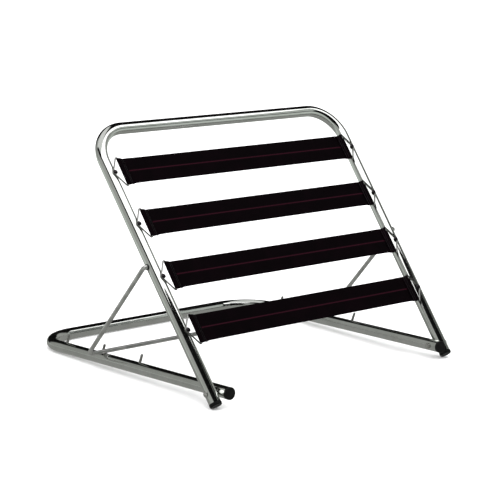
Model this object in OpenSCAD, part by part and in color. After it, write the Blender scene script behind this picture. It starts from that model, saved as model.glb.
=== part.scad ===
// Adjustable folding backrest frame: a flat base frame, a wider back frame that hinges on it,
// a wire prop that catches on pegs, and four elastic straps hung on wire rings.
// Frame: +X to the right, +Y towards the rear, +Z up. Origin: on the floor, under the middle of
// the whole frame. Millimetres.

/* [Tube] */
// Outside diameter of the frame tube
tube_d = 22; // [18:0.5:26]
// Wall of the frame tube
tube_wall = 1.2; // [0.8:0.1:2]

/* [Base frame] */
// Distance between the side tubes' centrelines at the pivots
base_w = 512.5; // [410:0.5:620]
// Distance from the pivots back to the rear tube's centreline
base_len = 566; // [480:1:680]
// Angle by which each side tube runs outward towards the rear
base_splay = 1.45; // [0:0.05:2]
// Bend radius of the rear corners, at the centreline
base_bend_r = 80; // [50:1:95]
// Length of side tube in front of the pivots
base_front = 19.5; // [16:0.5:30]

/* [Back frame] */
// Distance from the pivots up to the top tube's centreline
back_len = 535; // [480:1:645]
// Angle by which each leg runs outward towards the top
back_splay = 1.33; // [0:0.05:2]
// Bend radius of the top corners, at the centreline
back_bend_r = 65; // [50:1:75]
// Length of leg below the pivots
back_foot = 18.5; // [16:0.5:24]
// Angle between the back frame and the base frame as it stands
back_angle = 53.1; // [50:0.1:56]

/* [Pivots] */
// Space between each leg and the side tube beside it
side_gap = 1.2; // [1:0.1:4]
// Diameter of the pivot bolts
bolt_d = 6; // [5:0.5:8]
// Radius of the domed bolt heads
bolt_head_r = 5.5; // [5:0.5:8]
// Height of the domed bolt heads
bolt_head_h = 2.8; // [2:0.1:4]
// Thickness of the washer between leg and side tube
washer_t = 0.5; // [0.3:0.1:0.6]
// Outside radius of the washer and of the nut
washer_r = 6; // [5.5:0.5:8]
// Height of the pivot nuts
nut_h = 3.2; // [2:0.1:5]

/* [Prop] */
// Diameter of the prop rod
prop_d = 8; // [6:0.5:8.5]
// Distance up the legs from the pivots to the prop's upper ends
prop_k = 252; // [240:1:262]
// Space between the prop's legs and the back frame's legs
prop_standoff = 3; // [2:0.1:6]
// Bend radius of the prop's lower corners, at the centreline
prop_bend_r = 13; // [8:0.5:24]
// Bend radius of the prop's upper ends, at the centreline
prop_hook_r = 5; // [4.5:0.1:5.4]
// How far the bush stands out of the leg round the prop's upper end
bush_proud = 1; // [0.5:0.1:1.2]
// Wall of the bush
bush_wall = 1.3; // [1:0.1:2]

/* [Pegs] */
// Distance from the pivots to the front pair of pegs
peg_front = 229; // [200:1:240]
// Spacing of the three pairs of pegs
peg_pitch = 114; // [95:1:116]
// Diameter of the pegs
peg_d = 5; // [4:0.5:7]
// Length of peg above the tube
peg_h = 19; // [16:0.5:22]
// Angle by which the pegs lean forward
peg_lean = 25; // [15:1:30]

/* [Straps] */
// Width of the straps
strap_w = 52; // [40:1:60]
// Thickness of the straps
strap_t = 1.8; // [1.2:0.1:2.4]
// Distance up the legs from the pivots to the lowest strap's middle
strap_first = 117; // [98:1:120]
// Spacing of the straps
strap_pitch = 107.3; // [90:0.1:110]
// Distance from a leg's centreline in to the end of a strap
strap_end = 17.5; // [16:0.5:26]
// Length of the hem folded round each ring
hem_len = 14; // [11:0.5:20]
// Thickness of the hem
hem_t = 5.2; // [4.5:0.1:6]

/* [Rings and studs] */
// Diameter of the ring wire
ring_d = 2.8; // [2:0.1:3.2]
// Corner radius of a ring beside the strap, at the centreline
ring_corner_r = 2.5; // [2.5:0.1:5]
// Distance from a leg's centreline in to its studs
stud_inset = 3; // [0:0.5:4]
// Radius of a stud's neck
stud_r = 2; // [1.5:0.1:3]
// Radius of a stud's head
stud_head_r = 4.5; // [4:0.1:6]
// Height of a stud's head
stud_head_h = 2.2; // [1.5:0.1:3]

/* [End caps] */
// Length of a cap outside its tube
cap_len = 6; // [4:0.5:9]
// How far a cap is wider than its tube, in radius
cap_lip = 0.3; // [0:0.1:1]
// Rounding of a cap's edge
cap_round = 2; // [0.5:0.1:3]
// Length of a cap inside its tube
cap_plug = 8; // [6:0.5:9]

/* [Clearances] */
// Radial clearance of the bolts, studs, pegs and cap plugs in their holes
fit_gap = 0.05; // [0.02:0.01:0.1]
// Clearance between pieces that move past each other
rest_gap = 0.3; // [0.3:0.05:0.6]
// Clearance at the prop's upper ends, where the linkage is open
open_gap = 0.4; // [0.3:0.1:0.8]

/* [Hidden] */

$fn = 64;
eps = 0.5;
// Straight bars run this far into the bends, which are drawn this much thinner, so that they weld
lap = 0.6;
bend_step = 0.1;
LEFT = -1;
RIGHT = 1;

tube_r = tube_d / 2;
bore_r = tube_r - tube_wall;
rod_r = prop_d / 2;
peg_r = peg_d / 2;
wire_r = ring_d / 2;
bolt_r = bolt_d / 2;
back_w = base_w + 2 * (tube_d + side_gap);

// Half width of each frame at a distance from the pivots, along its own plane
function base_x(y) = base_w / 2 + y * tan(base_splay);
function back_x(k) = back_w / 2 + k * tan(back_splay);
// Distance from the pivots to strap i, counted from the top strap, 1, down to the lowest, 4
function strap_k(i) = strap_first + (4 - i) * strap_pitch;
// Half width between the studs at strap i
function stud_x(i) = back_x(strap_k(i)) - stud_inset;
// Distance from the pivots to peg pair i, counted from the front
function peg_y(i) = peg_front + i * peg_pitch;

// The prop's cross rod lies on the side tubes, in front of the middle pegs
rod_z = tube_r + rod_r + rest_gap;
rod_y = peg_y(1) - (rod_z - tube_r) * tan(peg_lean)
    - (rod_r + peg_r + rest_gap) / cos(peg_lean);
prop_top = prop_k * [cos(back_angle), sin(back_angle)];
prop_len = norm(prop_top - [rod_y, rod_z]);
prop_angle = atan2(prop_top[1] - rod_z, prop_top[0] - rod_y);
leg_outer_x = back_x(prop_k) + tube_r / cos(back_splay);
prop_x = leg_outer_x + prop_standoff + rod_r;
bush_face_x = leg_outer_x + bush_proud;
prop_end_x = bush_face_x + open_gap;

// Ring and strap layer, in front of the back frame's legs
ring_z = tube_r + wire_r + 0.2;
ring_apex_r = stud_r + wire_r + 0.15;
ring_base_u = strap_end + hem_t / 2 - stud_inset;
ring_base_v = strap_w / 2 + 0.5;

// How it stands: on the edges of the leg caps and on the rear tube, so it pitches a little
cap_r = tube_r + cap_lip;
cap_flat_r = cap_r - cap_round;
foot_reach = back_foot + cap_len - cap_round;
pitch_a = foot_reach * sin(back_angle) + cap_flat_r * cos(back_angle);
pitch_b = base_len + foot_reach * cos(back_angle) - cap_flat_r * sin(back_angle);
stand_pitch = acos((tube_r - cap_round) / norm([pitch_a, pitch_b])) - atan2(pitch_b, pitch_a);
pivot_z = base_len * sin(stand_pitch) + tube_r;
rear_y = base_len * cos(stand_pitch) + tube_r;
front_y = -(base_front + cap_len - cap_round) * cos(stand_pitch)
    - cap_flat_r * sin(stand_pitch) - cap_round;
pivot_y = -(rear_y + front_y) / 2;

// Puts the base frame's plane where it stands
module standing() translate([0, pivot_y, pivot_z]) rotate([-stand_pitch, 0, 0]) children();
// Puts a plane drawn along +Y at the back frame's lean
module leaning() standing() rotate([back_angle, 0, 0]) children();
// Turns a piece drawn for the left side to the side asked for
module on_side(side) mirror([side == RIGHT ? 1 : 0, 0, 0]) children();

// A straight round bar between two points of the XY plane, which laps the bend at each end
module bar(from, to, r, laps = [lap, lap]) {
    run = to - from;
    translate([from[0], from[1], 0]) rotate([0, 0, atan2(run[1], run[0])])
        translate([-laps[0], 0, 0]) rotate([0, 90, 0])
            cylinder(r = r, h = norm(run) + laps[0] + laps[1]);
}

// A round bend in the XY plane about a centre, from one angle through another
module bend(centre, bend_r, from, sweep, r) {
    translate([centre[0], centre[1], 0]) rotate([0, 0, from])
        rotate_extrude(angle = sweep) translate([bend_r, 0]) circle(r = r - bend_step);
}

// A U of round bar in the XY plane: legs splayed outward, joined at y = len, ending at y = -foot
module u_bar(w, len, splay, bend_r, foot, r) {
    corner_x = w / 2 + len * tan(splay);
    tangent = bend_r / tan((90 - splay) / 2);
    centre = [corner_x - tangent, len - bend_r];
    leg_top = centre + bend_r * [cos(splay), -sin(splay)];
    leg_end = [w / 2 - foot * tan(splay), -foot];
    bar([-centre[0], len], [centre[0], len], r);
    for (side = [LEFT, RIGHT]) mirror([side == LEFT ? 1 : 0, 0, 0]) {
        bend(centre, bend_r, -splay, 90 + splay, r);
        bar(leg_end, leg_top, r, [0, lap]);
    }
}

// The same U as a hollow tube
module u_tube(w, len, splay, bend_r, foot) {
    difference() {
        u_bar(w, len, splay, bend_r, foot, tube_r);
        u_bar(w, len, splay, bend_r, foot + eps, bore_r);
    }
}

// A peg's outline along +Z, standing on the side tube's centreline
module peg_place(side, i)
    translate([side * base_x(peg_y(i)), peg_y(i) + tube_r * tan(peg_lean), 0])
        rotate([peg_lean, 0, 0]) children();

module base_frame() color("silver") standing() difference() {
    u_tube(base_w, base_len, base_splay, base_bend_r, base_front);
    for (side = [LEFT, RIGHT]) {
        translate([side * base_x(0) - tube_d, 0, 0]) rotate([0, 90, 0])
            cylinder(r = bolt_r + fit_gap, h = 2 * tube_d);
        for (i = [0:2]) peg_place(side, i) cylinder(r = peg_r + fit_gap, h = 2 * tube_d);
    }
}

module back_frame() color("silver") leaning() difference() {
    u_tube(back_w, back_len, back_splay, back_bend_r, back_foot);
    for (side = [LEFT, RIGHT]) {
        translate([side * back_x(0) - tube_d, 0, 0]) rotate([0, 90, 0])
            cylinder(r = bolt_r + fit_gap, h = 2 * tube_d);
        translate([side * back_x(prop_k), prop_k, 0]) rotate([0, side * 90, 0])
            cylinder(r = rod_r + bush_wall + fit_gap, h = tube_d);
        for (i = [1:4]) translate([side * stud_x(i), strap_k(i), 0])
            cylinder(r = stud_r + fit_gap, h = tube_d);
    }
}

module prop_bail() color("gray") standing() translate([0, rod_y, rod_z])
    rotate([prop_angle, 0, 0]) {
        low = prop_x - prop_bend_r;
        high = prop_x - prop_hook_r;
        bar([-low, 0], [low, 0], rod_r);
        for (side = [LEFT, RIGHT]) mirror([side == LEFT ? 1 : 0, 0, 0]) {
            bend([low, prop_bend_r], prop_bend_r, -90, 90, rod_r);
            bar([prop_x, prop_bend_r], [prop_x, prop_len - prop_hook_r], rod_r);
            bend([high, prop_len - prop_hook_r], prop_hook_r, 0, 90, rod_r);
            bar([prop_end_x, prop_len], [high, prop_len], rod_r, [0, lap]);
        }
    }

// A plastic cap along +Z: a plug below z = 0, a round-edged head above it
module end_cap() {
    translate([0, 0, -cap_plug]) cylinder(r = bore_r - fit_gap, h = cap_plug + eps);
    rotate_extrude() {
        square([cap_flat_r, cap_len]);
        square([cap_r, cap_len - cap_round]);
        translate([cap_flat_r, cap_len - cap_round]) intersection() {
            circle(r = cap_round);
            square(cap_round);
        }
    }
}

module base_cap(side) color("black") standing() on_side(side)
    translate([-base_x(-base_front), -base_front, 0]) rotate([0, 0, base_splay])
        rotate([90, 0, 0]) end_cap();

module back_cap(side) color("black") leaning() on_side(side)
    translate([-back_x(-back_foot), -back_foot, 0]) rotate([0, 0, back_splay])
        rotate([90, 0, 0]) end_cap();

// A dome along +Z, flat at z = 0
module dome(r, h) {
    ball_r = (r * r + h * h) / (2 * h);
    rotate_extrude() intersection() {
        translate([0, h - ball_r]) circle(r = ball_r);
        square([r, h]);
    }
}

// From inside: the bolt's end, nut, side tube, washer, leg, and the domed head outside
module pivot_bolt(side) color("gainsboro") standing() on_side(side) {
    head_x = back_x(0) + tube_r + rest_gap;
    inner_x = base_x(0) - tube_r - nut_h - 1;
    translate([-head_x, 0, 0]) rotate([0, 90, 0]) cylinder(r = bolt_r, h = head_x - inner_x);
    translate([-head_x, 0, 0]) rotate([0, -90, 0]) dome(bolt_head_r, bolt_head_h);
}

module pivot_washer(side) color("gray") standing() on_side(side)
    translate([-base_x(0) - tube_r - (side_gap + washer_t) / 2, 0, 0]) rotate([0, 90, 0])
        difference() {
            cylinder(r = washer_r, h = washer_t);
            translate([0, 0, -eps]) cylinder(r = bolt_r + fit_gap, h = washer_t + 2 * eps);
        }

module pivot_nut(side) color("gainsboro") standing() on_side(side)
    translate([-base_x(0) + tube_r + rest_gap, 0, 0]) rotate([0, 90, 0]) difference() {
        union() {
            cylinder(r = washer_r, h = nut_h / 3);
            cylinder(r = washer_r * 0.8, h = nut_h);
        }
        translate([0, 0, -eps]) cylinder(r = bolt_r + fit_gap, h = nut_h + 2 * eps);
    }

module prop_bush(side) color("dimgray") leaning() on_side(side)
    translate([-bush_face_x, prop_k, 0]) rotate([0, 90, 0]) difference() {
        cylinder(r = rod_r + bush_wall, h = bush_proud + tube_wall + 3);
        translate([0, 0, -eps]) cylinder(r = rod_r + rest_gap, h = bush_proud + tube_wall + 4);
    }

module peg(side, i) color("silver") standing() peg_place(side, i) {
    length = (tube_r + peg_h * cos(peg_lean)) / cos(peg_lean);
    foot = bore_r * 0.7;
    translate([0, 0, foot]) cylinder(r = peg_r, h = length - peg_r - foot);
    translate([0, 0, length - peg_r]) sphere(r = peg_r);
}

module strap(i) color([0.07, 0.01, 0.03]) leaning() translate([0, strap_k(i), ring_z]) {
    half = back_x(strap_k(i)) - strap_end;
    difference() {
        union() {
            translate([-half + hem_t / 2, -strap_w / 2, -strap_t / 2])
                cube([2 * half - hem_t, strap_w, strap_t]);
            for (side = [LEFT, RIGHT]) on_side(side) {
                translate([-half + hem_t / 2, -strap_w / 2, -hem_t / 2])
                    cube([hem_len - hem_t / 2, strap_w, hem_t]);
                translate([-half + hem_t / 2, strap_w / 2, 0]) rotate([90, 0, 0])
                    cylinder(r = hem_t / 2, h = strap_w);
            }
        }
        for (side = [LEFT, RIGHT]) on_side(side)
            translate([-half + hem_t / 2, strap_w / 2 + eps, 0]) rotate([90, 0, 0])
                cylinder(r = wire_r + fit_gap, h = strap_w + 2 * eps);
    }
}

// A closed triangle of wire: its point goes round the stud, its base lies in the strap's hem
module strap_ring(i, side) color("lightgray") leaning() on_side(side)
    translate([-stud_x(i), strap_k(i), ring_z]) {
        corner = [ring_base_u - ring_corner_r, ring_base_v];
        slope = atan2(corner[1], corner[0])
            + acos((ring_apex_r - ring_corner_r) / norm(corner));
        out = [cos(slope), sin(slope)];
        bend([0, 0], ring_apex_r, slope, 360 - 2 * slope, wire_r);
        bar([ring_base_u, -ring_base_v], [ring_base_u, ring_base_v], wire_r);
        for (m = [0, 1]) mirror([0, m, 0]) {
            bend(corner, ring_corner_r, 0, slope, wire_r);
            bar(ring_apex_r * out, corner + ring_corner_r * out, wire_r);
        }
    }

module strap_stud(i, side) color("dimgray") leaning() on_side(side)
    translate([-stud_x(i), strap_k(i), 0]) {
        shank_z = bore_r - 2;
        head_z = ring_z + wire_r + 0.2;
        translate([0, 0, shank_z]) cylinder(r = stud_r, h = head_z - shank_z);
        translate([0, 0, head_z]) dome(stud_head_r, stud_head_h);
    }

base_frame();
back_frame();
prop_bail();
base_cap(LEFT);  // base_cap_left
base_cap(RIGHT);  // base_cap_right
back_cap(LEFT);  // back_cap_left
back_cap(RIGHT);  // back_cap_right
pivot_bolt(LEFT);  // pivot_bolt_left
pivot_bolt(RIGHT);  // pivot_bolt_right
pivot_washer(LEFT);  // pivot_washer_left
pivot_washer(RIGHT);  // pivot_washer_right
pivot_nut(LEFT);  // pivot_nut_left
pivot_nut(RIGHT);  // pivot_nut_right
prop_bush(LEFT);  // prop_bush_left
prop_bush(RIGHT);  // prop_bush_right
peg(LEFT, 0);  // peg_front_left
peg(LEFT, 1);  // peg_middle_left
peg(LEFT, 2);  // peg_rear_left
peg(RIGHT, 0);  // peg_front_right
peg(RIGHT, 1);  // peg_middle_right
peg(RIGHT, 2);  // peg_rear_right
strap(1);  // strap_1
strap(2);  // strap_2
strap(3);  // strap_3
strap(4);  // strap_4
strap_ring(1, LEFT);  // ring_1_left
strap_ring(2, LEFT);  // ring_2_left
strap_ring(3, LEFT);  // ring_3_left
strap_ring(4, LEFT);  // ring_4_left
strap_ring(1, RIGHT);  // ring_1_right
strap_ring(2, RIGHT);  // ring_2_right
strap_ring(3, RIGHT);  // ring_3_right
strap_ring(4, RIGHT);  // ring_4_right
strap_stud(1, LEFT);  // stud_1_left
strap_stud(2, LEFT);  // stud_2_left
strap_stud(3, LEFT);  // stud_3_left
strap_stud(4, LEFT);  // stud_4_left
strap_stud(1, RIGHT);  // stud_1_right
strap_stud(2, RIGHT);  // stud_2_right
strap_stud(3, RIGHT);  // stud_3_right
strap_stud(4, RIGHT);  // stud_4_right
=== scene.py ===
import math
import bmesh
import bpy
from mathutils import Matrix, Vector


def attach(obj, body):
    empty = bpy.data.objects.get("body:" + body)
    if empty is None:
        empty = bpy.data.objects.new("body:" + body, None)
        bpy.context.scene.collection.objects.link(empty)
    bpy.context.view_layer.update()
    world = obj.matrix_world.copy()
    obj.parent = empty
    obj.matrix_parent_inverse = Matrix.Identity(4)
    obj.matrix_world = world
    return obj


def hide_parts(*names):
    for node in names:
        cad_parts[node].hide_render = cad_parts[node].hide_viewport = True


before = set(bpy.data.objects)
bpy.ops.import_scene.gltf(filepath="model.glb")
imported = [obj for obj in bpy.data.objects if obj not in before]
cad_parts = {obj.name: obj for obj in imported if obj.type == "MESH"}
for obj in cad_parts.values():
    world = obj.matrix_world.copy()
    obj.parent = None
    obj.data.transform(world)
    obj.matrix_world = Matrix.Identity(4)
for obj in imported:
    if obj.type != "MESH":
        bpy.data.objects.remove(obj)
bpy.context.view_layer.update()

# ---------------------------------------------------------------- base frame
# The base is one length of round steel tube, bent twice into a wide U and
# chrome plated. It lies on the floor with its open end to the front, and its
# sides run very slightly outward towards the rear.
TUBE_R = 0.011
TUBE_WALL = 0.0012
BASE_W = 0.5125
BASE_LEN = 0.566
BASE_SPLAY = math.radians(1.45)
BASE_FRONT = 0.0195
BASE_BEND_R = 0.080
PIVOT = Vector((0, -0.275544, 0.025415))
STAND_PITCH = math.radians(1.4593)
standing = Matrix.Translation(PIVOT) @ Matrix.Rotation(-STAND_PITCH, 4, "X")


class Value:
    """A number that varies over a surface: sums written in Python add Math nodes."""

    def __init__(self, finish, socket):
        self.finish, self.socket = finish, socket

    def __add__(self, other):
        return self.finish.math("ADD", self, other)

    def __mul__(self, other):
        return self.finish.math("MULTIPLY", self, other)

    def __rsub__(self, other):
        return self.finish.math("SUBTRACT", other, self)

    def __abs__(self):
        return self.finish.math("ABSOLUTE", self)

    __radd__, __rmul__ = __add__, __mul__


class Finish:
    """A material as it is mixed, node by node."""

    def __init__(self, name, owner=None):
        self.material = owner or bpy.data.materials.new(name)
        self.material.use_nodes = True
        self.tree = self.material.node_tree
        self.tree.nodes.clear()

    def node(self, kind, settings=None, sockets=None, out=0):
        """Adds one node: its settings first, then the values or links of its sockets."""
        made = self.tree.nodes.new(kind)
        for key, value in (settings or {}).items():
            setattr(made, key, value)
        for key, value in (sockets or {}).items():
            if isinstance(value, Value):
                self.tree.links.new(value.socket, made.inputs[key])
            else:
                made.inputs[key].default_value = value
        return Value(self, made.outputs[out])

    def math(self, operation, *inputs):
        return self.node("ShaderNodeMath", {"operation": operation}, dict(enumerate(inputs)))

    def place(self, which="Object"):
        return self.node("ShaderNodeTexCoord", out=which)

    def axes(self, vector):
        split = self.node("ShaderNodeSeparateXYZ", None, {0: vector}, "X")
        return [Value(self, split.socket.node.outputs[i]) for i in range(3)]

    def noise(self, where, scale, detail=2.0, roughness=0.5):
        return self.node("ShaderNodeTexNoise", None, {
            "Vector": where, "Scale": scale, "Detail": detail, "Roughness": roughness})

    def stretched(self, where, scale):
        return self.node("ShaderNodeVectorMath", {"operation": "MULTIPLY"}, {0: where, 1: scale})

    def fade(self, value, low, high, start=0.0, end=1.0):
        """Goes smoothly from start at low to end at high."""
        return self.node("ShaderNodeMapRange", {"interpolation_type": "SMOOTHSTEP"}, {
            0: value, 1: low, 2: high, 3: start, 4: end})

    def colour(self, factor, first, second):
        return self.node("ShaderNodeMix", {"data_type": "RGBA"},
                         {0: factor, 6: first, 7: second}, 2)

    def bump(self, height, distance, strength=1.0, normal=None):
        sockets = {"Height": height, "Distance": distance, "Strength": strength}
        if normal:
            sockets["Normal"] = normal
        return self.node("ShaderNodeBump", None, sockets)

    def done(self, **sockets):
        skin = self.node("ShaderNodeBsdfPrincipled", None, {
            key.replace("_", " "): value for key, value in sockets.items()})
        self.node_out("ShaderNodeOutputMaterial", skin)
        return self.material

    def node_out(self, kind, shader):
        out = self.tree.nodes.new(kind)
        self.tree.links.new(shader.socket, out.inputs["Surface"])


def chrome_finish():
    """Bright chrome on steel tube: buffing hairlines, faint smears and a few duller specks."""
    chrome = Finish("chrome_plate")
    place = chrome.place()
    smear = chrome.noise(place, 26.0, 3.0)
    hairline = chrome.noise(chrome.stretched(place, (1400.0, 90.0, 90.0)), 1.0, 2.0)
    speck = chrome.fade(chrome.noise(place, 900.0, 0.0), 0.72, 0.80)
    ripple = chrome.noise(place, 55.0, 1.0)
    rough = 0.035 + chrome.fade(smear, 0.45, 0.75, 0.0, 0.05) + hairline * 0.02 + speck * 0.12
    tint = chrome.colour(chrome.fade(smear, 0.3, 0.7),
                         (0.66, 0.675, 0.65, 1), (0.74, 0.75, 0.735, 1))
    worn = chrome.colour(speck, tint, (0.42, 0.42, 0.40, 1))
    ground = chrome.bump(ripple, 0.00012, 0.35)
    return chrome.done(Base_Color=worn, Metallic=1.0, Roughness=rough,
                       Normal=chrome.bump(hairline, 0.000008, 0.5, ground))


def adder(tree):
    """A function that adds one node to a Geometry Nodes tree, with its values and links."""

    def add(kind, settings=None, links=None):
        made = tree.nodes.new(kind)
        for key, value in (settings or {}).items():
            setattr(made, key, value)
        for key, value in (links or {}).items():
            if isinstance(value, bpy.types.NodeSocket):
                tree.links.new(value, made.inputs[key])
            else:
                made.inputs[key].default_value = value
        return made

    return add


def grower_inputs(tree, first, sizes, result):
    """Names the tree's inputs: a mesh to grow from, its sizes and its finish."""
    face = tree.interface
    face.new_socket(first, in_out="INPUT", socket_type="NodeSocketGeometry")
    for name, kind, value in sizes:
        face.new_socket(name, in_out="INPUT", socket_type=kind).default_value = value
    face.new_socket("Finish", in_out="INPUT", socket_type="NodeSocketMaterial")
    face.new_socket(result, in_out="OUTPUT", socket_type="NodeSocketGeometry")


def bent_bar_tree():
    """Geometry Nodes: a polyline, rounded at its corners, swept into a round bar.

    Each point of the polyline carries its own bend radius in the attribute "bend".
    """
    tree = bpy.data.node_groups.new("bent_bar", "GeometryNodeTree")
    grower_inputs(tree, "Polyline", (("Bar radius", "NodeSocketFloat", 0.01),
                                     ("Steps in a bend", "NodeSocketInt", 24),
                                     ("Sides", "NodeSocketInt", 48),
                                     ("Closed ends", "NodeSocketBool", False)), "Bar")
    add = adder(tree)
    given = add("NodeGroupInput").outputs
    bend = add("GeometryNodeInputNamedAttribute", {"data_type": "FLOAT"}, {"Name": "bend"})
    path = add("GeometryNodeMeshToCurve", None, {"Mesh": given["Polyline"]})
    rounded = add("GeometryNodeFilletCurve", {"mode": "POLY"}, {
        "Curve": path.outputs[0], "Radius": bend.outputs[0],
        "Count": given["Steps in a bend"]})
    ring = add("GeometryNodeCurvePrimitiveCircle", None, {
        "Resolution": given["Sides"], "Radius": given["Bar radius"]})
    bar = add("GeometryNodeCurveToMesh", None, {
        "Curve": rounded.outputs[0], "Profile Curve": ring.outputs[0],
        "Fill Caps": given["Closed ends"]})
    smooth = add("GeometryNodeSetShadeSmooth", None, {0: bar.outputs[0]})
    real = add("GeometryNodeRealizeInstances", None, {0: smooth.outputs[0]})
    painted = add("GeometryNodeSetMaterial", None, {
        "Geometry": real.outputs[0], "Material": given["Finish"]})
    tree.links.new(painted.outputs[0], add("NodeGroupOutput").inputs[0])
    return tree


def grown(name, seed, tree, inputs, wall=0.0):
    """The plain mesh that a tree grows from a seed mesh, with a wall if it is hollow."""
    grower = bpy.data.objects.new(name + "_grower", seed)
    bpy.context.collection.objects.link(grower)
    modifier = grower.modifiers.new("grow", "NODES")
    modifier.node_group = tree
    sockets = {s.name: s.identifier for s in tree.interface.items_tree if s.in_out == "INPUT"}
    for key, value in inputs.items():
        modifier[sockets[key]] = value
    if wall:
        skin = grower.modifiers.new("wall", "SOLIDIFY")
        skin.thickness, skin.offset, skin.use_even_offset = wall, -1.0, True
    bpy.context.view_layer.update()
    seen = grower.evaluated_get(bpy.context.evaluated_depsgraph_get())
    mesh = bpy.data.meshes.new_from_object(seen)
    mesh.name = name
    bpy.data.objects.remove(grower)
    bpy.data.meshes.remove(seed)
    return mesh


CRISP_ANGLE = math.radians(40)


def outward(mesh):
    """Merges doubles, turns every face of a closed mesh outward and keeps cut ends crisp."""
    work = bmesh.new()
    work.from_mesh(mesh)
    bmesh.ops.remove_doubles(work, verts=work.verts, dist=1e-7)
    bmesh.ops.recalc_face_normals(work, faces=work.faces)
    if work.calc_volume(signed=True) < 0:
        bmesh.ops.reverse_faces(work, faces=work.faces)
    work.to_mesh(mesh)
    work.free()
    mesh.set_sharp_from_angle(angle=CRISP_ANGLE)


def polyline(points, bends, matrix, closed=False):
    """A mesh of edges through points, put in place, with a bend radius at each."""
    mesh = bpy.data.meshes.new("polyline")
    count = len(points)
    edges = [(i, (i + 1) % count) for i in range(count if closed else count - 1)]
    mesh.from_pydata([matrix @ Vector((*p, 0.0)) for p in points], edges, [])
    mesh.attributes.new("bend", "FLOAT", "POINT").data.foreach_set("value", bends)
    return mesh


def piece(name, mesh, body, nodes):
    """An object in its place that rides on a body and stands for CAD nodes."""
    made = bpy.data.objects.new(name, mesh)
    bpy.context.collection.objects.link(made)
    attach(made, body)
    if nodes:
        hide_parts(*nodes)
    return made


def u_points(width, length, splay, foot):
    """The corners of a U that opens towards -Y: its feet run outward by the splay angle."""
    lean = math.tan(splay)
    foot_x, corner_x = width / 2 - foot * lean, width / 2 + length * lean
    return [(-foot_x, -foot), (-corner_x, length), (corner_x, length), (foot_x, -foot)]


bent_bar = bent_bar_tree()
chrome = chrome_finish()


def bent_tube(name, points, bend_r, matrix, body, node):
    """One chromed tube through four points, with the same bend at the middle two."""
    seed = polyline(points, [0.0, bend_r, bend_r, 0.0], matrix)
    mesh = grown(name, seed, bent_bar, {
        "Bar radius": TUBE_R, "Steps in a bend": 32, "Sides": 56, "Finish": chrome}, TUBE_WALL)
    outward(mesh)
    return piece(name, mesh, body, [node])


bent_tube("base_tube", u_points(BASE_W, BASE_LEN, BASE_SPLAY, BASE_FRONT), BASE_BEND_R,
          standing, "base", "base_frame")

# ---------------------------------------------------------------- base caps
# A soft black vinyl cap closes each open end of the base tube. It is moulded in
# one piece with a flat face and a rounded rim, and it grips the tube by itself.


def plastic_finish(name, dark, light, rough, shine):
    """Moulded plastic: fine grain with a few rubbed patches."""
    moulded = Finish(name)
    place = moulded.place()
    grain = moulded.noise(place, 2200.0, 3.0, 0.6)
    rub = moulded.fade(moulded.noise(place, 120.0, 3.0), 0.5, 0.75)
    return moulded.done(Base_Color=moulded.colour(rub, dark, light),
                        Roughness=rough + rub * 0.18, Specular_IOR_Level=shine,
                        Normal=moulded.bump(grain, 0.00005, 0.5))


SIDES = (("left", -1), ("right", 1))


def both(*names):
    """The names of the left and the right one of each piece."""
    return [f"{name}_{side}" for name in names for side, _ in SIDES]


def paint(skin, nodes):
    """Gives a finish to CAD nodes that keep their shape."""
    for name in nodes:
        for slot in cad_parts[name].material_slots:
            slot.material = skin


vinyl = plastic_finish("black_vinyl", (0.0022, 0.0022, 0.0022, 1), (0.006, 0.006, 0.006, 1),
                       0.44, 0.16)
paint(vinyl, both("base_cap"))

# ---------------------------------------------------------------- pegs
# Three pairs of short plated steel pegs with round tips stand in holes in the
# tops of the base tubes. The prop's cross rod lies behind one pair, which sets
# the back's angle.


def steel_finish(name, dark, light, rough):
    """Small turned or drawn steel parts with a thin plated skin."""
    steel = Finish(name)
    place = steel.place()
    cloud = steel.noise(place, 160.0, 3.0)
    grain = steel.noise(place, 2600.0, 2.0)
    return steel.done(Base_Color=steel.colour(cloud, dark, light), Metallic=1.0,
                      Roughness=rough + cloud * 0.12 + grain * 0.06,
                      Normal=steel.bump(grain, 0.00001, 0.5))


peg_skin = steel_finish("zinc_peg", (0.30, 0.30, 0.29, 1), (0.46, 0.46, 0.44, 1), 0.20)
paint(peg_skin, both("peg_front", "peg_middle", "peg_rear"))

# ---------------------------------------------------------------- back frame
# The back is a second, wider U of the same chrome tube. It stands outside the
# base at the pivots and leans back, and the straps hang between its legs.
BACK_W = 0.5589
BACK_LEN = 0.535
BACK_SPLAY = math.radians(1.33)
BACK_FOOT = 0.0185
BACK_BEND_R = 0.065
BACK_ANGLE = math.radians(53.1)
leaning = standing @ Matrix.Rotation(BACK_ANGLE, 4, "X")

bent_tube("back_tube", u_points(BACK_W, BACK_LEN, BACK_SPLAY, BACK_FOOT), BACK_BEND_R,
          leaning, "back", "back_frame")

# ---------------------------------------------------------------- back caps
# The back legs end in the same black vinyl caps, pushed on in the same way.
# Their lower edges are the front feet of the whole frame.
paint(vinyl, both("back_cap"))

# ---------------------------------------------------------------- pivots
# One bright plated bolt with a domed head goes through both tubes on each side,
# with a thin grey washer between them and a round collar nut on the inside. The
# back turns on this pair.
bright = steel_finish("bright_bolt", (0.55, 0.55, 0.53, 1), (0.70, 0.70, 0.68, 1), 0.10)
washer_skin = steel_finish("grey_washer", (0.20, 0.20, 0.20, 1), (0.32, 0.32, 0.31, 1), 0.30)
paint(bright, both("pivot_bolt", "pivot_nut"))
paint(washer_skin, both("pivot_washer"))

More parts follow.
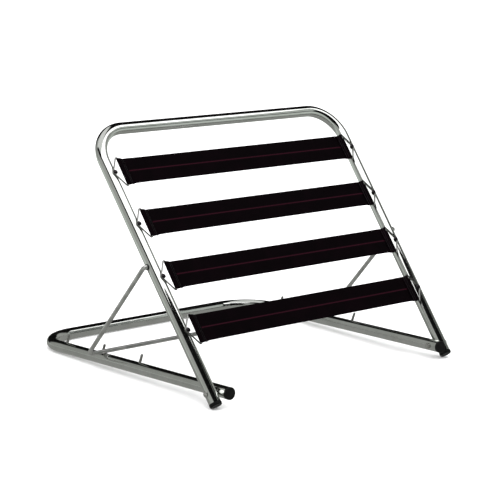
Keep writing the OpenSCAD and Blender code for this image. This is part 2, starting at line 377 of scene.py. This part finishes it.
# ---------------------------------------------------------------- prop
# The prop is one steel rod with a dull plated skin, bent to a wide U: a cross rod
# that lies on the base tubes against a pair of pegs, and two legs whose upper
# ends turn in towards the back frame.
ROD_R = 0.004
ROD_PLACE = Vector((0, 0.333492, 0.0153))
PROP_X = 0.303304
PROP_END_X = 0.297704
PROP_LEN = 0.260518
PROP_ANGLE = math.radians(134.3726)
PROP_BEND_R, PROP_HOOK_R = 0.013, 0.005


def rod_finish():
    """Dull zinc-plated rod: cloudy plating with a fine grain."""
    zinc = Finish("dull_plated_rod")
    place = zinc.place()
    cloud = zinc.noise(place, 48.0, 4.0, 0.6)
    grain = zinc.noise(place, 1500.0, 2.0)
    tint = zinc.colour(zinc.fade(cloud, 0.35, 0.65),
                       (0.50, 0.50, 0.49, 1), (0.70, 0.70, 0.685, 1))
    rough = 0.24 + cloud * 0.16 + grain * 0.08
    return zinc.done(Base_Color=tint, Metallic=1.0, Roughness=rough,
                     Normal=zinc.bump(grain, 0.00002, 0.5))


zinc = rod_finish()
prop_place = standing @ Matrix.Translation(ROD_PLACE) @ Matrix.Rotation(PROP_ANGLE, 4, "X")
prop_points = [(-PROP_END_X, PROP_LEN), (-PROP_X, PROP_LEN), (-PROP_X, 0.0),
               (PROP_X, 0.0), (PROP_X, PROP_LEN), (PROP_END_X, PROP_LEN)]
prop_bends = [0.0, PROP_HOOK_R, PROP_BEND_R, PROP_BEND_R, PROP_HOOK_R, 0.0]
prop_mesh = grown("prop_rod", polyline(prop_points, prop_bends, prop_place), bent_bar, {
    "Bar radius": ROD_R, "Steps in a bend": 20, "Sides": 32, "Closed ends": True, "Finish": zinc})
outward(prop_mesh)
piece("prop_rod", prop_mesh, "prop", ["prop_bail"])

# ---------------------------------------------------------------- prop bushes
# A dark nylon sleeve is pushed into a hole in the outer side of each back leg.
# The prop's turned-in ends turn in the pair.
nylon = plastic_finish("dark_nylon", (0.006, 0.006, 0.0065, 1), (0.014, 0.014, 0.015, 1),
                       0.40, 0.25)
paint(nylon, both("prop_bush"))

# ---------------------------------------------------------------- studs
# Eight blued steel studs, each a neck with a wider head, are riveted into the
# fronts of the back legs, four a side. A ring hangs on each neck.
STRAPS = range(1, 5)
blued = steel_finish("blued_stud", (0.020, 0.016, 0.020, 1), (0.05, 0.045, 0.05, 1), 0.28)
paint(blued, both(*[f"stud_{number}" for number in STRAPS]))

# ---------------------------------------------------------------- rings
# Each strap end hangs on a closed triangle of round plated wire. Its point goes
# round a stud on the leg, and its base lies inside the strap's hem.
WIRE_R = 0.0014
STRAP_W = 0.052
STRAP_END = 0.0175
STUD_INSET = 0.003
RING_U, RING_V = 0.0171, 0.0265
RING_APEX_R, RING_CORNER_R = 0.00355, 0.0025
LAYER_Z = 0.0126
STRAP_FIRST, STRAP_PITCH = 0.117, 0.1073


def wire_finish():
    """Bright nickel wire, a little brushed."""
    nickel = Finish("nickel_wire")
    place = nickel.place()
    grain = nickel.noise(place, 1200.0, 2.0)
    cloud = nickel.noise(place, 90.0, 3.0)
    tint = nickel.colour(cloud, (0.20, 0.20, 0.195, 1), (0.34, 0.34, 0.33, 1))
    return nickel.done(Base_Color=tint, Metallic=1.0, Roughness=0.12 + grain * 0.12,
                       Normal=nickel.bump(grain, 0.00001, 0.4))


def back_x(k):
    """Half the distance between the back legs at a distance up them from the pivots."""
    return BACK_W / 2 + k * math.tan(BACK_SPLAY)


def strap_k(number):
    """Distance up the legs to a strap's middle. The top strap is number 1."""
    return STRAP_FIRST + (len(STRAPS) - number) * STRAP_PITCH


nickel = wire_finish()
corner_u = RING_U - RING_CORNER_R
slope = math.atan2(RING_V, corner_u) + math.acos(
    (RING_APEX_R - RING_CORNER_R) / math.hypot(corner_u, RING_V))
point_u = RING_APEX_R / math.cos(slope)
base_v = (RING_APEX_R - RING_U * math.cos(slope)) / math.sin(slope)
for number in STRAPS:
    for side, turn in SIDES:
        stud_x = turn * (back_x(strap_k(number)) - STUD_INSET)
        place = leaning @ Matrix.Translation((stud_x, strap_k(number), LAYER_Z))
        base_u = -turn * RING_U
        corners = [(-turn * point_u, 0.0), (base_u, base_v), (base_u, -base_v)]
        seed = polyline(corners, [RING_APEX_R, RING_CORNER_R, RING_CORNER_R], place, True)
        name = f"wire_ring_{number}_{side}"
        mesh = grown(name, seed, bent_bar, {
            "Bar radius": WIRE_R, "Steps in a bend": 16, "Sides": 20, "Finish": nickel})
        outward(mesh)
        piece(name, mesh, "back", [f"ring_{number}_{side}"])

# ---------------------------------------------------------------- straps
# Each strap is black elastic webbing, ribbed along its length, with one thin
# dark red line woven down its middle. Its ends go behind and round the ring's
# wire, and are sewn down on the front as a short hem.
WEB_T = 0.0014
WEB_LEVEL = -0.0003
HEM = 0.0145
HEM_SEWN_Z = 0.00025
HEM_SLIP = 0.0016
FLARE, FLARE_REACH = 0.052, 0.016
WIRE_INSET, WIRE_GAP = 0.0026, 0.00008
LOOP_REACH = 0.004
RISE_REACH = 0.016
RIBS, RIB_H = 26, 0.00009
WEFT_PITCH = 0.0011
RED_LINE = 0.0012
REVERSE_V = 1.0


def webbing_finish():
    """Elastic webbing: ribs along it, crossed by fine weft, and the red line in its middle.

    The UV map runs in metres: U along the webbing from the middle, V across it. V is a
    metre further on for the reverse, a whole number of ribs, so the line stays off it.
    """
    web = Finish("elastic_webbing")
    along, across, _ = web.axes(web.place("UV"))
    rib = 0.5 + web.math("COSINE", across * (2 * math.pi * RIBS / STRAP_W)) * 0.5
    weft = 0.5 + web.math("SINE", along * (2 * math.pi / WEFT_PITCH)) * 0.5
    fuzz = web.noise(web.place(), 900.0, 4.0, 0.65)
    shade = web.noise(web.place(), 30.0, 2.0)
    thread = rib * 0.6 + weft * 0.25 + fuzz * 0.15
    black = web.colour(thread, (0.0006, 0.0002, 0.0004, 1), (0.0022, 0.0009, 0.0016, 1))
    aged = web.colour(web.fade(shade, 0.4, 0.7, 0.0, 0.5), black,
                      (0.0024, 0.0006, 0.0014, 1))
    line = web.fade(abs(across), RED_LINE * 0.75, RED_LINE * 1.15, 1.0, 0.0)
    red = web.colour(weft, (0.008, 0.0012, 0.003, 1), (0.022, 0.0035, 0.008, 1))
    cloth = web.colour(line, aged, red)
    height = rib * 0.5 + weft * 0.3 + fuzz * 0.4
    return web.done(Base_Color=cloth, Roughness=0.74 + fuzz * 0.2, Specular_IOR_Level=0.02,
                    Normal=web.bump(height, 0.00018, 0.8))


webbing = webbing_finish()
HEM_FLAT = HEM - WIRE_INSET - LOOP_REACH
TURN_R = WIRE_R + WEB_T / 2 + WIRE_GAP


def hem_z(run):
    """Height of the hem's middle layer at a distance from its cut end."""
    return HEM_SEWN_Z + (TURN_R - HEM_SEWN_Z) * (run / HEM_FLAT) ** 2


def under_z(run):
    """Height of the strap under the hem, from the wire inwards, as it comes up to its level."""
    t = run / RISE_REACH
    return -TURN_R + (TURN_R + WEB_LEVEL) * t * t * (3 - 2 * t)


def strap_route(half):
    """(x, z) points along the webbing's middle, from one hem's cut end to the other's."""
    wire_x, steps, turns, spans = half - WIRE_INSET, 8, 12, 14
    right = [(half - HEM + run, hem_z(run))
             for run in (HEM_FLAT * i / steps for i in range(steps + 1))]
    for i in range(turns + 1):
        a = math.pi / 2 - math.pi * i / turns
        right.append((wire_x + TURN_R * math.cos(a), TURN_R * math.sin(a)))
    right += [(wire_x - LOOP_REACH - run, under_z(run))
              for run in (RISE_REACH * i / steps for i in range(steps + 1))]
    right += [(right[-1][0] * (1 - i / spans), WEB_LEVEL) for i in range(1, spans)]
    return right + [(0.0, WEB_LEVEL)] + [(-x, z) for x, z in reversed(right)]


def web_section():
    """(v, h) points round the webbing's cross-section, with ribs on both faces."""
    steps, half_w, half_t = RIBS * 4, STRAP_W / 2, WEB_T / 2
    face = []
    for i in range(steps + 1):
        v = -half_w + half_t + (STRAP_W - WEB_T) * i / steps
        groove = 0.5 + 0.5 * math.cos(2 * math.pi * RIBS * v / STRAP_W)
        face.append((v, half_t - RIB_H * groove))
    edge = [(half_w - half_t + half_t * math.cos(a), half_t * math.sin(a))
            for a in (math.pi / 3, math.pi / 6, 0.0, -math.pi / 6, -math.pi / 3)]
    lower = [(v, -h) for v, h in reversed(face)]
    return face + edge + lower + [(-v, -h) for v, h in edge]


def hem_drop(distance, whole):
    """How far a hem's free end has slipped down across the strap."""
    from_end = min(distance, whole - distance)
    return -HEM_SLIP * max(0.0, 1 - from_end / HEM) ** 1.3


def webbing_mesh(name, number):
    """One strap, swept along its route, with closed ends and a UV map in metres."""
    half = back_x(strap_k(number)) - STRAP_END
    place = leaning @ Matrix.Translation((0, strap_k(number), LAYER_Z))
    route, section = strap_route(half), web_section()
    count, total = len(section), [0.0]
    for (x0, z0), (x1, z1) in zip(route, route[1:]):
        total.append(total[-1] + math.hypot(x1 - x0, z1 - z0))
    work = bmesh.new()
    uv = work.loops.layers.uv.new("weave")
    rings = []
    for i, (x, z) in enumerate(route):
        (xa, za), (xb, zb) = route[max(i - 1, 0)], route[min(i + 1, len(route) - 1)]
        run = Vector((xb - xa, zb - za)).normalized()
        drop = hem_drop(total[i], total[-1])
        flare = 1 + FLARE * math.exp(-((half - abs(x)) / FLARE_REACH) ** 1.5)
        rings.append([work.verts.new(
            place @ Vector((x - run.y * h, v * flare + drop, z + run.x * h)))
            for v, h in section])
    for i in range(len(rings) - 1):
        for j in range(count):
            k = (j + 1) % count
            face = work.faces.new((rings[i][j], rings[i][k], rings[i + 1][k], rings[i + 1][j]))
            reverse = REVERSE_V if section[j][1] + section[k][1] > 0 else 0.0
            corners = ((i, j), (i, k), (i + 1, k), (i + 1, j))
            for loop, (row, column) in zip(face.loops, corners):
                loop[uv].uv = (total[row] - total[-1] / 2, section[column][0] + reverse)
    for row, ring in ((0, rings[0]), (len(rings) - 1, rings[-1])):
        face = work.faces.new(ring)
        for loop, (v, _) in zip(face.loops, section):
            loop[uv].uv = (total[row] - total[-1] / 2, v + REVERSE_V)
    bmesh.ops.recalc_face_normals(work, faces=work.faces)
    bmesh.ops.triangulate(work, faces=[face for face in work.faces if len(face.verts) > 4])
    mesh = bpy.data.meshes.new(name)
    work.to_mesh(mesh)
    work.free()
    mesh.shade_smooth()
    mesh.materials.append(webbing)
    return mesh, total[-1]


# The hems are sewn with two rows of dark polyester thread, which show on the
# front of the hem and again on the back of the strap.
STITCH_ROWS = (0.0022, 0.0062)
STITCH_MARGIN = 0.002
STITCH_PITCH, STITCH_LENGTH, THREAD_R = 0.0026, 0.0021, 0.00028


def stitch_row_tree():
    """Geometry Nodes: short fat stitches of thread, one after another along a line."""
    tree = bpy.data.node_groups.new("stitch_row", "GeometryNodeTree")
    grower_inputs(tree, "Line", (("Pitch", "NodeSocketFloat", STITCH_PITCH),
                                 ("Stitch length", "NodeSocketFloat", STITCH_LENGTH),
                                 ("Thread radius", "NodeSocketFloat", THREAD_R)), "Stitches")
    add = adder(tree)
    given = add("NodeGroupInput").outputs
    path = add("GeometryNodeMeshToCurve", None, {"Mesh": given["Line"]})
    spaced = add("GeometryNodeResampleCurve", {"mode": "LENGTH"}, {
        "Curve": path.outputs[0], "Length": given["Pitch"]})
    bead = add("GeometryNodeMeshUVSphere", None, {"Segments": 8, "Rings": 5, "Radius": 1.0})
    half = add("ShaderNodeMath", {"operation": "MULTIPLY"}, {0: given["Stitch length"], 1: 0.5})
    size = add("ShaderNodeCombineXYZ", None, {
        0: half.outputs[0], 1: given["Thread radius"], 2: given["Thread radius"]})
    run = add("GeometryNodeInputTangent")
    turned = add("FunctionNodeAlignRotationToVector", {"axis": "X"},
                 {"Vector": run.outputs[0]})
    laid = add("GeometryNodeInstanceOnPoints", None, {
        "Points": spaced.outputs[0], "Instance": bead.outputs[0],
        "Rotation": turned.outputs[0], "Scale": size.outputs[0]})
    real = add("GeometryNodeRealizeInstances", None, {0: laid.outputs[0]})
    smooth = add("GeometryNodeSetShadeSmooth", None, {0: real.outputs[0]})
    sewn = add("GeometryNodeSetMaterial", None, {
        "Geometry": smooth.outputs[0], "Material": given["Finish"]})
    tree.links.new(sewn.outputs[0], add("NodeGroupOutput").inputs[0])
    return tree


def thread_finish():
    """Dark polyester thread with a fine twist."""
    thread = Finish("dark_thread")
    twist = thread.noise(thread.place(), 3000.0, 2.0)
    tint = thread.colour(twist, (0.010, 0.009, 0.010, 1), (0.030, 0.028, 0.030, 1))
    return thread.done(Base_Color=tint, Roughness=0.55 + twist * 0.2,
                       Specular_IOR_Level=0.15, Normal=thread.bump(twist, 0.00003, 0.5))


stitch_row, thread = stitch_row_tree(), thread_finish()


def stitch_lines(number):
    """The lines that a strap's stitches follow, at both hems, on the front and the back."""
    half, reach = back_x(strap_k(number)) - STRAP_END, STRAP_W / 2 - STITCH_MARGIN
    place = leaning @ Matrix.Translation((0, strap_k(number), LAYER_Z))
    points = []
    for _, turn in SIDES:
        for run in STITCH_ROWS:
            x = turn * (half - HEM + run)
            front = hem_z(run) + WEB_T / 2
            back = under_z(HEM_FLAT - run) - WEB_T / 2
            for z in (front, back):
                points += [place @ Vector((x, -reach, z)), place @ Vector((x, reach, z))]
    lines = bpy.data.meshes.new("stitch_lines")
    lines.from_pydata(points, [(i, i + 1) for i in range(0, len(points), 2)], [])
    return lines


for number in STRAPS:
    name = f"hem_stitches_{number}"
    mesh = grown(name, stitch_lines(number), stitch_row, {
        "Pitch": STITCH_PITCH, "Stitch length": STITCH_LENGTH, "Thread radius": THREAD_R,
        "Finish": thread})
    sewing = piece(name, mesh, "back", [])
    mesh, length = webbing_mesh(f"webbing_{number}", number)
    strap = piece(f"webbing_{number}", mesh, "back", [f"strap_{number}"])

# ---------------------------------------------------------------- studio
# The frame stands on a wide white paper floor under one large soft light. The
# chrome sees a painted reflection of the paper instead: a grey glow, with painted
# shade darker close by, so its lower side keeps its tone.
FLOOR_REACH = 30.0
floor_mesh = bpy.data.meshes.new("floor")
floor_mesh.from_pydata([(x * FLOOR_REACH, y * FLOOR_REACH, 0.0)
                        for x, y in ((-1, -1), (1, -1), (1, 1), (-1, 1))], [], [(0, 1, 2, 3)])
floor = bpy.data.objects.new("floor", floor_mesh)
bpy.context.collection.objects.link(floor)

paper = Finish("paper_floor")
away = paper.node("ShaderNodeVectorMath", {"operation": "LENGTH"}, {0: paper.place()}, "Value")
pale = paper.node("ShaderNodeBsdfDiffuse", None, {"Color": (0.93, 0.93, 0.93, 1)})
# Painted shade: the grey that reflections see is darker close to the frame.
shade = paper.colour(paper.fade(away, 0.45, 1.1),
                     (0.30, 0.305, 0.29, 1), (0.58, 0.62, 0.58, 1))
# Painted reflection: this glow is no lamp and shows only in reflections.
painted_reflection_glow = paper.node("ShaderNodeEmission", None, {"Color": shade, "Strength": 1.0})
glossy = paper.node("ShaderNodeLightPath", out="Is Glossy Ray")
paper.node_out("ShaderNodeOutputMaterial",
               paper.node("ShaderNodeMixShader", None, {0: glossy, 1: pale, 2: painted_reflection_glow}))
floor_mesh.materials.append(paper.material)

# The room is dark above and behind for whatever shines, with pale cards low at
# the left, the right, the front right and the back left, and one high at the left.
room = bpy.data.worlds.new("room")
bpy.context.scene.world = room
sky = Finish("room", room)
x, y, z = sky.axes(sky.place("Generated"))
front_right = (sky.fade(x, 0.50, 0.58) * sky.fade(y, -0.46, -0.42, 1.0, 0.0)
               * sky.fade(z, 0.10, 0.16))
low_right = sky.fade(x, 0.78, 0.86) * sky.fade(z, 0.40, 0.60, 1.0, 0.0)
low_left = sky.fade(x, -0.68, -0.60, 1.0, 0.0) * sky.fade(z, 0.50, 0.62, 1.0, 0.0)
back_left = sky.fade(x, -0.25, -0.05, 1.0, 0.0) * sky.fade(y, 0.55, 0.70)
high_left = (sky.fade(x, -0.58, -0.50) * sky.fade(x, 0.30, 0.40, 1.0, 0.0)
             * sky.fade(y, -0.30, -0.22) * sky.fade(y, 0.60, 0.70, 1.0, 0.0)
             * sky.fade(z, 0.30, 0.45))
seen = (0.004, 0.004, 0.004, 1)
for card, tone in ((front_right, (0.50, 0.53, 0.50, 1)), (low_right, (0.34, 0.35, 0.33, 1)),
                   (low_left, (0.42, 0.43, 0.41, 1)), (back_left, (0.32, 0.33, 0.31, 1)),
                   (high_left, (0.80, 0.81, 0.79, 1))):
    seen = sky.colour(card, seen, tone)
shining = sky.node("ShaderNodeLightPath", out="Is Glossy Ray")
sky.node_out("ShaderNodeOutputWorld", sky.node("ShaderNodeBackground", None, {
    "Color": sky.colour(shining, (1.0, 1.0, 1.0, 1), seen),
    "Strength": 1.75 - 0.75 * shining}))

softbox = bpy.data.lights.new("softbox", "AREA")
softbox.shape, softbox.size, softbox.size_y, softbox.energy = "RECTANGLE", 2.0, 0.65, 7.5
overhead = bpy.data.objects.new("softbox", softbox)
overhead.location = (0.0, -0.5, 1.2)
overhead.visible_camera = False
bpy.context.collection.objects.link(overhead)

# The camera stands at the front left and looks a little down on the frame.
LOOK_AZ, LOOK_DOWN, LOOK_FROM = math.radians(39.52), math.radians(10.86), 3.215
LOOK_AT = Vector((0, -0.04239, 0.20592))
camera = bpy.data.objects.new("camera", bpy.data.cameras.new("camera"))
bpy.context.collection.objects.link(camera)
camera.data.sensor_width, camera.data.lens = 36.0, 122.4
look = Vector((math.sin(LOOK_AZ) * math.cos(LOOK_DOWN),
               math.cos(LOOK_AZ) * math.cos(LOOK_DOWN), -math.sin(LOOK_DOWN)))
camera.location = LOOK_AT - look * LOOK_FROM
camera.rotation_euler = look.to_track_quat("-Z", "Y").to_euler()
bpy.context.scene.camera = camera
bpy.context.scene.view_settings.view_transform = "Standard"
